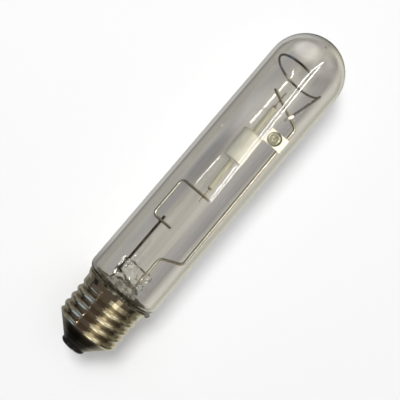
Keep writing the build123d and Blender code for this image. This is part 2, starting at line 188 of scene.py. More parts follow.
def fade(tree, value, low, high, start=0.0, end=1.0, soft=False):
    """Goes from start to end while the value goes from low to high, softly or straight."""
    node = add_node(tree, "MapRange", interpolation_type="SMOOTHSTEP" if soft else "LINEAR")
    labels = ("Value", "From Min", "From Max", "To Min", "To Max")
    for label, entry in zip(labels, (value, low, high, start, end)):
        feed(tree, entry, node.inputs[label])
    return node.outputs["Result"]


# %% Colours


def grey(value):
    """A neutral colour of one brightness."""
    return (value, value, value)


def ramp(tree, factor, stops):
    """A colour ramp over a factor, from pairs of position and colour, and its output."""
    node = add_node(tree, "ValToRGB")
    bar = node.color_ramp
    while len(bar.elements) < len(stops):
        bar.elements.new(0.5)
    for element, (position, colour) in zip(bar.elements, stops):
        element.position = position
        element.color = (*colour, 1)
    feed(tree, factor, node.inputs["Fac"])
    return node.outputs["Color"]


def blend_colours(tree, mask, first, second):
    """Goes from the first colour to the second where the mask is 1."""
    node = add_node(tree, "Mix", data_type="RGBA")
    feed(tree, mask, node.inputs[0])
    for socket, colour in ((node.inputs[6], first), (node.inputs[7], second)):
        feed(tree, (*colour, 1) if isinstance(colour, tuple) else colour, socket)
    return node.outputs[2]


# %% [markdown]
# ## Effects shared by the finishes
# Real surfaces are never one colour. Some effects come back on nearly every part of the lamp, so each
# is built once as a node group and placed in a material with its own values. Patches are soft clouds,
# for tarnish, heat tint and uneven glaze. Fine lines run along a wire and round the cap, as drawing and
# rolling leave them. Waves are the slow unevenness of drawn glass. The station tells how far along the
# lamp a point lies. Painting all this by hand would look right only from one side, while noise in the
# part's own space covers it all round.

# %% Parts that the groups are made of
noise_roughness = 0.55
shared = {}


def new_group(name, inputs, output):
    """A shader node group with named sockets, kept by its name, and the nodes at its two ends."""
    group = bpy.data.node_groups.new(name, "ShaderNodeTree")
    for label, value in inputs:
        kind = "NodeSocketVector" if isinstance(value, tuple) else "NodeSocketFloat"
        socket = group.interface.new_socket(label, in_out="INPUT", socket_type=kind)
        socket.default_value = value
    group.interface.new_socket(output, in_out="OUTPUT", socket_type="NodeSocketFloat")
    shared[name] = group
    print("group", name, "takes", [label for label, value in inputs], "and gives", output)
    return group, group.nodes.new("NodeGroupInput"), group.nodes.new("NodeGroupOutput")


def own_space(tree):
    """The point in the part's own space."""
    return add_node(tree, "TexCoord").outputs["Object"]


def noise_field(tree, vector, detail, roughness=noise_roughness):
    """Noise at a place that is already scaled."""
    node = add_node(tree, "TexNoise", Scale=1.0, Detail=detail, Roughness=roughness)
    feed(tree, vector, node.inputs["Vector"])
    return node.outputs["Fac"]


# %% Patches: how many there are and how sharp their edges are can be set
group, source, result = new_group(
    "patches", [("Per Metre", (400.0, 400.0, 400.0)), ("Middle", 0.5), ("Softness", 0.2)], "Mask")
clouds = noise_field(group, vectors(group, "MULTIPLY", own_space(group), source.outputs["Per Metre"]), 4.0)
edges = [sums(group, operation, source.outputs["Middle"], source.outputs["Softness"])
         for operation in ("SUBTRACT", "ADD")]
feed(group, fade(group, clouds, *edges, soft=True), result.inputs["Mask"])

# %% Fine lines: noise drawn out in one direction, with a finer set laid over it
finer_by = 2.7

group, source, result = new_group("fine_lines", [("Per Metre", (300.0, 9000.0, 9000.0))], "Lines")
spot = vectors(group, "MULTIPLY", own_space(group), source.outputs["Per Metre"])
finer = noise_field(group, vectors(group, "SCALE", spot, finer_by), 0.0)
both = sums(group, "ADD", noise_field(group, spot, 1.0), finer)
feed(group, sums(group, "MULTIPLY", both, 0.5), result.inputs["Lines"])

# %% Waves of drawn glass, with a share of fine ripples
ripples_per_wave = 7.0

group, source, result = new_group(
    "glass_waves", [("Per Metre", (30.0, 120.0, 120.0)), ("Fine Share", 0.15)], "Height")
spot = vectors(group, "MULTIPLY", own_space(group), source.outputs["Per Metre"])
ripple = noise_field(group, vectors(group, "SCALE", spot, ripples_per_wave), 1.0)
ripple = sums(group, "MULTIPLY", ripple, source.outputs["Fine Share"])
feed(group, sums(group, "ADD", noise_field(group, spot, 1.0), ripple), result.inputs["Height"])

# %% Station: 0 at a first place along the lamp and 1 at a last one
group, source, result = new_group("station", [("First", 0.0), ("Last", 1.0)], "Share")
share = fade(group, axis_of(group, own_space(group), "X"), source.outputs["First"], source.outputs["Last"])
feed(group, share, result.inputs["Share"])

# %% Placing a group in a material


def effect(tree, name, **values):
    """Places a shared group in a material with its own values, and hands back its one output."""
    node = tree.nodes.new("ShaderNodeGroup")
    node.node_tree = shared[name]
    for key, value in values.items():
        node.inputs[key.replace("_", " ")].default_value = value
    return node.outputs[0]


def relief(tree, height, depth_mm, shader):
    """Lets a height feed the shader's normal, so deep in millimetres."""
    bump = add_node(tree, "Bump", Strength=1.0, Distance=depth_mm * MM)
    feed(tree, height, bump.inputs["Height"])
    feed(tree, bump.outputs["Normal"], shader.inputs["Normal"])


# %% [markdown]
# ## Glass
# The bulb is drawn glass, about one and a half millimetres thick. What gives it away are its rims, the
# streaks of light along it and the slow waves in them. A thin see-through film would be faster, but a
# refracting shader on a shell with a real inside shows all three by itself. Cycles would give such
# glass a black shadow, so shadow rays alone meet a half-clear surface, which makes a soft grey shadow
# without caustics. The stem's glass was worked hot, so its waves are short and deep.

# %% Glass recipe
glass_ior = 1.47


def clear_glass(name, tint, shade, wave_mm, **waves):
    """Clear glass with slow waves, and a shadow of its own."""
    material = new_material(name)
    tree = material.node_tree
    glass = add_node(tree, "BsdfPrincipled", Base_Color=(*tint, 1), Roughness=0.0, IOR=glass_ior,
                     Transmission_Weight=1.0)
    relief(tree, effect(tree, "glass_waves", **waves), wave_mm, glass)
    shadow = add_node(tree, "BsdfTransparent", Color=(*shade, 1))
    either = add_node(tree, "MixShader")
    feed(tree, add_node(tree, "LightPath").outputs["Is Shadow Ray"], either.inputs[0])
    feed(tree, glass.outputs[0], either.inputs[1])
    feed(tree, shadow.outputs[0], either.inputs[2])
    return show(material, either)


# %% Glass of the bulb and of the stem


def finish_node(name, material):
    """Gives a carried-over solid its finish."""
    mesh = nodes[name].data
    mesh.materials.clear()
    mesh.materials.append(material)


bulb_glass = clear_glass("bulb_glass", (0.99, 0.985, 0.97), grey(0.45), wave_mm=0.012,
                         Per_Metre=(22.0, 90.0, 90.0), Fine_Share=0.01)
stem_glass = clear_glass("stem_glass", (0.97, 0.975, 0.95), grey(0.85), wave_mm=0.25,
                         Per_Metre=(160.0, 260.0, 260.0), Fine_Share=0.35)
finish_node("outer_bulb", bulb_glass)
for name in ("glass_stem", "exhaust_tube"):
    finish_node(name, stem_glass)
print("glass finishes:", bulb_glass.name, stem_glass.name)

# %% [markdown]
# ## Metals
# The lamp has plated sheet, plated and bare wire, a dark rod, solder and copper. A material of its own for
# each would hide that they differ in degree and not in kind. So one recipe serves them all: a clean colour
# that turns to a stained one in patches, a gloss that drops a little where it is stained, and fine lines
# from drawing or rolling. The cap asks for three things more. Painted shade darkens the roots of its thread,
# which the distance from the axis tells. Painted reflection darkens its cone and draws two rings on it, from
# station to station. The inside of its sheet is raw.

# %% Tint by station


def tint_by_station(tree, colour, bands):
    """Multiplies a colour by another that changes along the lamp, from pairs of station and colour."""
    first, last = bands[0][0], bands[-1][0]
    along = effect(tree, "station", First=cad_low.x + first * MM, Last=cad_low.x + last * MM)
    stops = [((station - first) / (last - first), tint) for station, tint in bands]
    return vectors(tree, "MULTIPLY", colour, ramp(tree, along, stops))


# %% Masks round the axis
inward_limit = -0.0004


def from_axis(tree):
    """The vector that leads from the lamp's axis straight out to a point of the surface."""
    outward = vectors(tree, "SUBTRACT", own_space(tree), (0.0, 0.0, axis_height))
    return vectors(tree, "MULTIPLY", outward, (0.0, 1.0, 1.0))


def inner_faces(tree):
    """1 on faces that look towards the lamp's axis, such as the inside of the sheet, and 0 elsewhere."""
    side = add_node(tree, "NewGeometry").outputs["True Normal"]
    return sums(tree, "LESS_THAN", vectors(tree, "DOT_PRODUCT", side, from_axis(tree)), inward_limit)


def thread_root_shade(tree, root_mm, crest_mm):
    """Painted shade: 1 at the thread's root, fading to 0 towards its crest, by the distance from the axis.
    """
    radius = vectors(tree, "LENGTH", from_axis(tree))
    return fade(tree, radius, root_mm * MM, crest_mm * MM, 1.0, 0.0)


# %% Metal recipe
stain_softness = 0.15
line_polished, line_rough = -0.04, 0.06
raw_sheet, raw_roughness = (0.40, 0.34, 0.22), 0.6
# Painted shade: the colour that the roots of the cap's thread are darkened to.
hollow_shade_colour = (0.56, 0.49, 0.36)


def metal(name, clean, stained, gloss, dull, patch, middle=0.5, line_mm=0.004,
          lines=(300.0, 9000.0, 9000.0), root_shade=(), bands=(), raw_inside=False):
    """Metal with stained patches and fine lines. Gloss and dull are its two roughnesses."""
    material = new_material(name)
    tree = material.node_tree
    shader = add_node(tree, "BsdfPrincipled", Metallic=1.0)
    stain = effect(tree, "patches", Per_Metre=(patch, patch, patch), Middle=middle, Softness=stain_softness)
    fine = effect(tree, "fine_lines", Per_Metre=lines)
    colour = blend_colours(tree, stain, clean, stained)
    # Painted shade: the plating darkens towards the roots of the thread.
    if root_shade:
        colour = blend_colours(tree, thread_root_shade(tree, *root_shade), colour, hollow_shade_colour)
    # On the cap these bands are painted reflection on its cone.
    if bands:
        colour = tint_by_station(tree, colour, bands)
    worn = sums(tree, "ADD", fade(tree, stain, 0.0, 1.0, gloss, dull),
                fade(tree, fine, 0.0, 1.0, line_polished, line_rough))
    if raw_inside:
        inside = inner_faces(tree)
        colour = blend_colours(tree, inside, colour, raw_sheet)
        worn = sums(tree, "MAXIMUM", worn, sums(tree, "MULTIPLY", inside, raw_roughness))
        feed(tree, sums(tree, "SUBTRACT", 1.0, inside), shader.inputs["Metallic"])
    feed(tree, colour, shader.inputs["Base Color"])
    feed(tree, worn, shader.inputs["Roughness"])
    relief(tree, fine, line_mm, shader)
    return show(material, shader)


# %% Plating of the cap
# Painted shade at the roots of the thread, fading out between these radii in mm.
thread_shade_radii = (12.4, 12.8)
# Painted reflection: the cone's plating is darkened to stand for the dark room it mirrors, and a pale ring
# and a brown ring are painted on it. Along the thread the factor is 1.
cone_painted_reflection = [
    (0.0, grey(0.16)), (5.3, grey(0.16)), (5.55, (0.85, 0.83, 0.78)), (5.8, grey(0.16)),
    (7.9, grey(0.13)), (8.1, (0.46, 0.34, 0.24)), (8.35, grey(0.16)), (9.0, grey(0.30)),
    (9.7, grey(1.0)), (30.0, grey(1.0)),
]
cap_plate = metal("cap_plate", (0.85, 0.81, 0.65), (0.68, 0.62, 0.46), 0.10, 0.18, 260.0, middle=0.58,
                  line_mm=0.002, lines=(9000.0, 400.0, 400.0), root_shade=thread_shade_radii, bands=cone_painted_reflection,
                  raw_inside=True)

# %% [markdown]
# The frame is plated wire, bright with brown patches from the heat. The rod beside it is a dark brown. The
# seal wires are thin, so that the glass round them doesn't crack as they warm up. The getter is a bright tab
# with a darker pan on it. Each could be matched against a sample under one lamp, but here they were set side
# by side, because what they mirror counts as much as their colour.

# %% Wires, leads, getter, solder and copper
wire_plate = metal("wire_plate", (0.66, 0.63, 0.53), (0.42, 0.37, 0.27), 0.20, 0.30, 330.0, middle=0.64)
# The rod is given a dark brown.
dark_rod = metal("dark_rod", (0.13, 0.095, 0.075), (0.055, 0.045, 0.04), 0.28, 0.45, 500.0)
seal_metal = metal("seal_metal", (0.12, 0.09, 0.07), (0.05, 0.04, 0.035), 0.35, 0.5, 700.0)
spring_metal = metal("spring_metal", (0.40, 0.375, 0.34), (0.20, 0.18, 0.155), 0.20, 0.34, 420.0)
lead_metal = metal("lead_metal", (0.62, 0.56, 0.42), (0.30, 0.25, 0.18), 0.25, 0.4, 800.0)
tungsten = metal("tungsten", (0.42, 0.41, 0.40), (0.22, 0.21, 0.20), 0.3, 0.45, 900.0)
tab_metal = metal("tab_metal", (0.88, 0.85, 0.76), (0.70, 0.64, 0.52), 0.30, 0.42, 600.0, middle=0.6)
pan_metal = metal("pan_metal", (0.27, 0.265, 0.21), (0.13, 0.13, 0.10), 0.22, 0.38, 700.0)
active_metal = metal("active_metal", (0.32, 0.315, 0.25), (0.20, 0.20, 0.15), 0.30, 0.42, 900.0)
contact_plate = metal("contact_plate", (0.55, 0.50, 0.40), (0.26, 0.22, 0.17), 0.25, 0.42, 500.0)
solder_metal = metal("solder_metal", (0.80, 0.80, 0.78), (0.50, 0.50, 0.50), 0.12, 0.30, 900.0)
copper_metal = metal("copper_metal", (0.72, 0.38, 0.22), (0.38, 0.18, 0.10), 0.25, 0.4, 600.0)
bright_weld = metal("bright_weld", (0.93, 0.91, 0.84), (0.78, 0.74, 0.64), 0.30, 0.42, 900.0, middle=0.6)

# %% Which solid gets which metal
metals = {
    cap_plate: ["cap_shell"],
    contact_plate: ["centre_contact"],
    solder_metal: ["centre_solder", "side_solder"],
    wire_plate: ["frame_wire", "bracket_wire"],
    dark_rod: ["short_rod"],
    seal_metal: ["long_seal_wire", "short_seal_wire"],
    spring_metal: ["support_spring"],
    lead_metal: ["lower_lead", "upper_lead"],
    tungsten: ["lower_electrode", "upper_electrode"],
    tab_metal: ["getter_tab"],
    pan_metal: ["getter_pan"],
    active_metal: ["getter_fill"],
    copper_metal: ["contact_lead", "shell_lead"],
}
for material, names in metals.items():
    for name in names:
        finish_node(name, material)
print("metal finishes:", len(metals), "on solids:", sum(len(names) for names in metals.values()))

# %% [markdown]
# ## Ceramic, frit, insulator and cement
# The arc tube is sintered alumina. It is cream, slightly glossy and lets some light through, most of
# all where it is thin. Real scattering below the surface would show that, slowly. A share of rough
# transmission under a weak coat does so at once, with a darker tint on the thin ends. The frit that
# seals it is a darker glass. The insulator is poured black glass with a hard shine, and the cement is
# chalky. All four share one recipe, because what differs is only colour, gloss and grain.

# %% Mineral recipe
cloud_softness = 0.2
grains_per_patch, grain_ripple = 4, 0.5


def mineral(name, light, dark, gloss, dull, patch, grain_mm, bands=(), **more):
    """Ceramic, glass or cement with uneven colour and a fine grain."""
    material = new_material(name)
    tree = material.node_tree
    shader = add_node(tree, "BsdfPrincipled", Metallic=0.0, **more)
    cloud = effect(tree, "patches", Per_Metre=(patch, patch, patch), Softness=cloud_softness)
    grains = grains_per_patch * patch
    grain = effect(tree, "glass_waves", Per_Metre=(grains, grains, grains), Fine_Share=grain_ripple)
    colour = blend_colours(tree, cloud, light, dark)
    if bands:
        colour = tint_by_station(tree, colour, bands)
    feed(tree, colour, shader.inputs["Base Color"])
    feed(tree, fade(tree, cloud, 0.0, 1.0, gloss, dull), shader.inputs["Roughness"])
    relief(tree, grain, grain_mm, shader)
    return show(material, shader)


# %% Arc tube
arc_low, arc_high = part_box("arc_tube")
arc_middle_mm = ((arc_low.x + arc_high.x) / 2 - cad_low.x) / MM
body_half_mm, shoulder_mm, arc_reach_mm = 6.2, 0.6, 30.0
thin_tint = (0.76, 0.75, 0.66)
arc_bands = [
    (arc_middle_mm - arc_reach_mm, thin_tint), (arc_middle_mm - body_half_mm - shoulder_mm, thin_tint),
    (arc_middle_mm - body_half_mm, grey(1.0)), (arc_middle_mm + body_half_mm, grey(1.0)),
    (arc_middle_mm + body_half_mm + shoulder_mm, thin_tint), (arc_middle_mm + arc_reach_mm, thin_tint),
]
arc_ceramic = mineral("arc_ceramic", (0.84, 0.82, 0.70), (0.76, 0.73, 0.60), 0.30, 0.38, 300.0, 0.004,
                      bands=arc_bands, IOR=1.5, Transmission_Weight=0.20, Coat_Weight=0.2,
                      Coat_Roughness=0.25)
finish_node("arc_tube", arc_ceramic)
print("arc tube's middle at station in mm:", round(arc_middle_mm, 1))

# %% Frit, insulator and cement
frit_glass = mineral("frit_glass", (0.34, 0.30, 0.20), (0.16, 0.13, 0.09), 0.2, 0.35, 900.0, 0.01)
black_glass = mineral("black_glass", (0.010, 0.010, 0.012), (0.022, 0.020, 0.020), 0.08, 0.16, 350.0,
                      0.01)
cap_cement = mineral("cap_cement", (0.56, 0.50, 0.38), (0.36, 0.31, 0.22), 0.75, 0.9, 700.0, 0.06)
finish_node("lower_frit", frit_glass)
finish_node("upper_frit", frit_glass)
finish_node("cap_insulator", black_glass)
finish_node("cap_cement", cap_cement)
print("materials so far:", len(bpy.data.materials))

# %% [markdown]
# ## Worked glass and solder
# The press of the stem was squeezed flat by hot jaws, and solder froze as it flowed. Neither is as
# even as its solid. Sculpting by hand could give that, but it can't be repeated. So a copy of the
# solid is remeshed into small even faces, and each point is moved by noise of a chosen size. The copy
# then stands for the solid and keeps its form and place.

# %% Adding a piece
added = []


def add_piece(name, mesh, material, stands_for=()):
    """Puts a mesh on the lamp with its finish, in place of solids where it stands for some."""
    piece = bpy.data.objects.new(name, mesh)
    bpy.context.scene.collection.objects.link(piece)
    mesh.materials.clear()
    mesh.materials.append(material)
    for face in mesh.polygons:
        face.use_smooth = True
    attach(piece, "root")
    if stands_for:
        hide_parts(*stands_for)
    added.append(piece)
    print("piece", name, "faces:", len(mesh.polygons))


# %% An even copy, and how it is made uneven


def even_copy(name, voxel_mm):
    """A copy of a solid's mesh with small even faces."""
    stand_in = bpy.data.objects.new(name + "_copy", nodes[name].data.copy())
    bpy.context.scene.collection.objects.link(stand_in)
    remesh = stand_in.modifiers.new("even", "REMESH")
    remesh.mode = "VOXEL"
    remesh.voxel_size = voxel_mm * MM
    evaluated = stand_in.evaluated_get(bpy.context.evaluated_depsgraph_get())
    mesh = bpy.data.meshes.new_from_object(evaluated)
    bpy.data.objects.remove(stand_in)
    return mesh


axis_apart = Vector((31.7, 17.3, 5.1))


def unevenness(point, size_mm, seed):
    """A shift by noise whose lumps have about this size. It is the same on each run."""
    spot = point / (size_mm * MM) + Vector((seed, 2.3 * seed, -seed))
    return Vector([noise.noise(spot + axis * axis_apart) for axis in range(3)])


def share_between(value, low, high):
    """0 at the low value and below, 1 at the high one and above, and straight between them."""
    return min(1.0, max(0.0, (value - low) / (high - low)))


# %% Pressed stem
press_start, press_end = 32.6, 40.3
softened_from, softened_to = press_start - 2.0, press_start + 1.0
unpressed_share = 0.35
press_lump_mm, press_shift_mm, press_seed = 2.4, 0.85, 4.0
ripple_lump_mm, ripple_shift_mm, ripple_seed = 0.95, 0.22, 9.0
jaw_pinch = 0.26
stem_voxel_mm = 0.26

stem_mesh = even_copy("glass_stem", stem_voxel_mm)
for vertex in stem_mesh.vertices:
    point = vertex.co.copy()
    station = (point.x - cad_low.x) / MM
    pressed = share_between(station, softened_from, softened_to)
    lumps = unpressed_share + (1.0 - unpressed_share) * pressed
    shift = unevenness(point, press_lump_mm, press_seed) * press_shift_mm * lumps
    shift += unevenness(point, ripple_lump_mm, ripple_seed) * ripple_shift_mm
    middle = math.sin(math.pi * share_between(station, press_start, press_end))
    height = point.z - axis_height
    vertex.co = point + shift * MM - Vector((0, 0, height * jaw_pinch * middle * pressed))
add_piece("pressed_stem", stem_mesh, stem_glass, ["glass_stem"])

# %% [markdown]
# On the centre contact and on the cap's rim the solder froze with a slightly wavy skin. A smooth dome
# would look like a moulded button. The noise here has lumps of a millimetre or more, and every point
# is kept inside the solid's own box, so that the lamp's length and width stay what they were.

# %% Solder that flowed
solder_voxel_mm = 0.13
solder_seed = 20.0
solder_jobs = [("centre_solder", "flowed_centre_solder", 1.3, 0.16),
               ("side_solder", "flowed_side_solder", 1.5, 0.22)]
for index, (node_name, piece_name, lump_mm, shift_mm) in enumerate(solder_jobs):
    low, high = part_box(node_name)
    mesh = even_copy(node_name, solder_voxel_mm)
    for vertex in mesh.vertices:
        moved = vertex.co + unevenness(vertex.co, lump_mm, solder_seed + index) * shift_mm * MM
        vertex.co = [min(max(value, lowest), highest) for value, lowest, highest in zip(moved, low, high)]
    add_piece(piece_name, mesh, solder_metal, [node_name])

# %% [markdown]
# ## Welds
# Where two wires cross, a spot weld leaves a small squashed nugget between them. The nuggets could be
# set by eye, but a ray from above and one from below that hit both wires find each crossing, so that
# the nuggets stay in place if the wires move. A nugget is a ball of small faces, cut off flat above
# and below and made lumpy by noise.

# %% Search trees and rays
trees = {}
search_step = 0.12 * MM


def wire_tree(name):
    """A search tree over a solid's faces, made once."""
    if name not in trees:
        mesh = nodes[name].data
        points, faces = [v.co for v in mesh.vertices], [p.vertices for p in mesh.polygons]
        trees[name] = BVHTree.FromPolygons(points, faces)
    return trees[name]


def hits(names, x, y, height, direction):
    """Where an upright ray meets each of the solids first."""
    ray = Vector((x, y, height)), Vector((0, 0, direction))
    return [wire_tree(name).ray_cast(*ray)[0] for name in names]


# %% Finding a crossing


def crossing(*names):
    """The middle of the spots where upright rays meet both solids, halfway between the two."""
    boxes = [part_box(name) for name in names]
    low = Vector(max(pair) for pair in zip(*(box[0] for box in boxes)))
    high = Vector(min(pair) for pair in zip(*(box[1] for box in boxes)))
    spots = []
    for i in range(int((high.x - low.x) / search_step) + 1):
        for j in range(int((high.y - low.y) / search_step) + 1):
            x, y = low.x + i * search_step, low.y + j * search_step
            down = hits(names, x, y, axis_height + tube_radius, -1)
            up = hits(names, x, y, axis_height - tube_radius, 1)
            if all(down) and all(up):
                upper, lower = (0, 1) if down[0].z > down[1].z else (1, 0)
                spots.append(Vector((x, y, (up[upper].z + down[lower].z) / 2)))
    return sum(spots, Vector()) / len(spots)


# %% Shape of a nugget
nugget_lump, nugget_lumps_across = 0.22, 3.1
nugget_cut = 0.36


def nugget_mesh(name, centre, size, seed, turn=0.0):
    """A squashed lump of frozen metal round a point."""
    builder = bmesh.new()
    bmesh.ops.create_icosphere(builder, subdivisions=4, radius=0.5)
    for vertex in builder.verts:
        lump = 1.0 + nugget_lump * noise.noise(vertex.co * nugget_lumps_across + Vector((seed, 0, seed)))
        flat = Vector((vertex.co.x, vertex.co.y, max(-nugget_cut, min(nugget_cut, vertex.co.z)))) * lump
        scaled = Vector(value * side * MM for value, side in zip(flat, size))
        vertex.co = centre + Matrix.Rotation(turn, 3, "Z") @ scaled
    mesh = bpy.data.meshes.new(name)
    builder.to_mesh(mesh)
    builder.free()
    return mesh


# %% Weld nuggets
weld_seed = 3.0
weld_jobs = [
    ("rod_weld", ("bracket_wire", "short_rod"), (1.0, 0.9, 0.45)),
    ("lower_lead_weld", ("bracket_wire", "lower_lead"), (0.95, 0.8, 0.4)),
    ("upper_lead_weld", ("frame_wire", "upper_lead"), (0.95, 0.8, 0.4)),
    ("tab_weld", ("getter_tab", "frame_wire"), (1.5, 0.8, 0.18)),
]
for index, (name, pair, size) in enumerate(weld_jobs):
    spot = crossing(*pair)
    add_piece(name, nugget_mesh(name, spot, size, weld_seed + index), wire_plate)
    print("weld at mm:", [round(value / MM, 1) for value in spot])

# %% [markdown]
# The spring's wire ends in a pad that was hammered flat and welded on top of the frame wire. It could
# be cut from the wire itself, but it is irregular, so it is a larger nugget of the same kind, turned
# as in the photograph and moved up on to the wire.

# %% Flattened end of the spring
pad_size = (2.7, 1.5, 0.62)
pad_turn = -math.radians(28.0)
pad_shift_mm = (0.2, -0.25, 0.85)
pad_seed = 11.0
pad_spot = crossing("support_spring", "frame_wire") + Vector(pad_shift_mm) * MM
pad_mesh = nugget_mesh("spring_weld", pad_spot, pad_size, pad_seed, pad_turn)
add_piece("spring_weld", pad_mesh, bright_weld)

# %% [markdown]
# ## Table
# A pale matt table carries the lamp, and only the camera sees it white. What the glass shows and what
# the plating mirrors is a shaded grey-beige ground, as on a large table in a dim room. A real grey card
# under the lamp would do the same, but it would also lie in the picture. So Light Path tells the kinds
# of ray apart. The ground changes across the lamp, because the tube gathers it like a lens, and a few
# soft spots stand for the lamp's own shades and bright places.

# %% Kinds of ray


def ray_kinds(tree):
    """Sockets that are 1 for a ray that was mirrored and for one that glass or metal shows, and the rays."""
    rays = add_node(tree, "LightPath")
    mirrored = sums(tree, "GREATER_THAN", rays.outputs["Glossy Depth"], 0.5)
    through = sums(tree, "GREATER_THAN", rays.outputs["Transmission Depth"], 0.5)
    scattered = sums(tree, "GREATER_THAN", rays.outputs["Diffuse Depth"], 0.5)
    indirect = sums(tree, "MAXIMUM", mirrored, through)
    shown = sums(tree, "MULTIPLY", indirect, sums(tree, "SUBTRACT", 1.0, scattered))
    return mirrored, shown, rays


# %% Ground across the lamp
ground_half_width_mm = 40.0
table_gap = 0.02 * MM
table_height = cad_low.z - table_gap
print("table lies at height in mm:", round(table_height / MM, 3))


def side_ramp(tree, side, stops):
    """A colour by the distance to the lamp's side, from pairs of millimetres and colour."""
    across = sums(tree, "ADD", sums(tree, "MULTIPLY", side, 0.5 / (ground_half_width_mm * MM)), 0.5)
    width = 2 * ground_half_width_mm
    spread = [((side_mm + ground_half_width_mm) / width, colour) for side_mm, colour in stops]
    return ramp(tree, across, spread)


# %% Ground as the glass shows it
grey_warmth = (0.965, 0.885)
drift_per_metre, drift_from, drift_to = (28.0, 90.0, 1.0), 0.90, 1.08
gathered_light = [
    (-40, 0.52, 0.0), (-20, 0.66, 0.0), (-16.5, 0.72, 0.0), (-14, 0.63, 0.0), (-12.8, 0.50, 0.0),
    (-11, 0.33, 0.02), (-9, 0.33, 0.03), (-7, 0.35, 0.03), (-5.5, 0.41, 0.02), (-3, 0.45, 0.0),
    (0, 0.45, 0.0), (3, 0.42, 0.0), (6, 0.385, 0.01), (8, 0.36, 0.02), (9.5, 0.365, 0.02),
    (12.2, 0.40, 0.0), (14, 0.36, 0.0), (16.5, 0.42, 0.0), (19, 0.40, 0.0), (22, 0.26, 0.0),
    (30, 0.22, 0.0), (40, 0.22, 0.0),
]


def warm_grey(value, blush):
    """A slightly warm grey, with a blush towards violet where it is shaded."""
    return (value, value * (grey_warmth[0] - blush), value * (grey_warmth[1] + blush))


print("brightest ground that the glass shows:", max(value for side_mm, value, blush in gathered_light))

# %% Soft spots on the ground
spot_core, spot_edge = 0.45, 1.25
soft_spots = [
    ((88.0, 8.2), (17.0, 3.6), 0.68), ((65.0, 9.0), (9.0, 3.0), 0.88), ((118.0, 7.0), (14.0, 5.0), 1.28),
    ((151.0, 6.6), (7.0, 7.0), 1.95), ((150.6, -8.8), (5.0, 4.0), 1.18), ((141.5, -2.2), (4.4, 6.4), 0.80),
]


def soft_spot(tree, point, spot, half_size, strength):
    """A factor that goes softly from 1 to its strength at a spot, given by station and side."""
    centre = place(*spot)
    offset = vectors(tree, "SUBTRACT", point, (centre.x, centre.y, table_height))
    per_half = (1.0 / (half_size[0] * MM), 1.0 / (half_size[1] * MM), 0.0)
    scaled = vectors(tree, "MULTIPLY", offset, per_half)
    return fade(tree, vectors(tree, "LENGTH", scaled), spot_core, spot_edge, strength, 1.0, soft=True)


def ground_through_glass(tree, point, side):
    """The graded ground with its slow drift and its soft spots."""
    stops = [(side_mm, warm_grey(value, blush)) for side_mm, value, blush in gathered_light]
    drift = noise_field(tree, vectors(tree, "MULTIPLY", point, drift_per_metre), 2.0, roughness=0.5)
    gain = fade(tree, drift, 0.3, 0.7, drift_from, drift_to)
    for spot, half_size, strength in soft_spots:
        gain = sums(tree, "MULTIPLY", gain, soft_spot(tree, point, spot, half_size, strength))
    return vectors(tree, "SCALE", side_ramp(tree, side, stops), gain)


# %% Ground as the metal mirrors it, with places along the lamp in metres
mirrored_ground = [
    (-40, (0.17, 0.16, 0.12)), (-32, (0.50, 0.49, 0.42)), (-20, (0.62, 0.61, 0.54)),
    (-13, (0.62, 0.58, 0.46)), (0, (0.34, 0.32, 0.28)), (13, (0.40, 0.39, 0.37)),
    (20, (0.50, 0.49, 0.46)), (32, (0.50, 0.49, 0.46)), (40, (0.22, 0.21, 0.19)),
]
print("stops across the mirrored ground:", len(mirrored_ground))
tip_dim, tip_dim_from, tip_dim_to = 0.14, -0.115, -0.085
cap_side_share, cap_side_from, cap_side_to = 0.55, -0.050, -0.035
inner_share, inner_depth = 0.40, 3.5
cool_side_from, cool_side_to = 0.0, 6 * MM


def ground_in_metal(tree, point, side, rays):
    """The mirrored ground. It is darker beyond the cap's tip, and on the cool side of cap and wires."""
    along = axis_of(tree, point, "X")
    near = fade(tree, along, tip_dim_from, tip_dim_to, tip_dim, 1.0, soft=True)
    cool = fade(tree, side, cool_side_from, cool_side_to)
    beside_cap = fade(tree, along, cap_side_from, cap_side_to, 1.0 - cap_side_share, 0.0)
    behind_glass = sums(tree, "GREATER_THAN", rays.outputs["Transmission Depth"], inner_depth)
    inner = sums(tree, "MULTIPLY", behind_glass, 1.0 - inner_share)
    loss = sums(tree, "MULTIPLY", cool, sums(tree, "MAXIMUM", beside_cap, inner))
    share = sums(tree, "MULTIPLY", near, sums(tree, "SUBTRACT", 1.0, loss))
    return vectors(tree, "SCALE", side_ramp(tree, side, mirrored_ground), share)


# %% Table's material
table_white, table_mottle, mottles_per_metre = 0.81, 0.01, 9.0


def table_material():
    """Matt white to the camera, and a graded warm grey to glass and metal."""
    material = new_material("pale_table")
    tree = material.node_tree
    point = add_node(tree, "NewGeometry").outputs["Position"]
    side = axis_of(tree, point, "Y")
    mirrored, shown, rays = ray_kinds(tree)
    mottle = add_node(tree, "TexNoise", Scale=mottles_per_metre, Detail=3.0)
    tones = [(0.0, grey(table_white - table_mottle)), (1.0, grey(table_white + table_mottle))]
    surface = add_node(tree, "BsdfDiffuse")
    feed(tree, ramp(tree, mottle.outputs["Fac"], tones), surface.inputs["Color"])
    card = add_node(tree, "Emission")
    ground = blend_colours(tree, mirrored, ground_through_glass(tree, point, side),
                           ground_in_metal(tree, point, side, rays))
    feed(tree, ground, card.inputs["Color"])
    either = add_node(tree, "MixShader")
    feed(tree, shown, either.inputs[0])
    feed(tree, surface.outputs[0], either.inputs[1])
    feed(tree, card.outputs[0], either.inputs[2])
    return show(material, either)


# %% Table
table_size = 6.0

table_mesh = bpy.data.meshes.new("table")
table_builder = bmesh.new()
bmesh.ops.create_grid(table_builder, x_segments=4, y_segments=4, size=table_size / 2)
table_builder.to_mesh(table_mesh)
table_builder.free()
table = bpy.data.objects.new("table", table_mesh)
bpy.context.scene.collection.objects.link(table)
table.location.z = table_height
table_mesh.materials.append(table_material())
print("table in m:", table_size, "soft spots:", len(soft_spots))

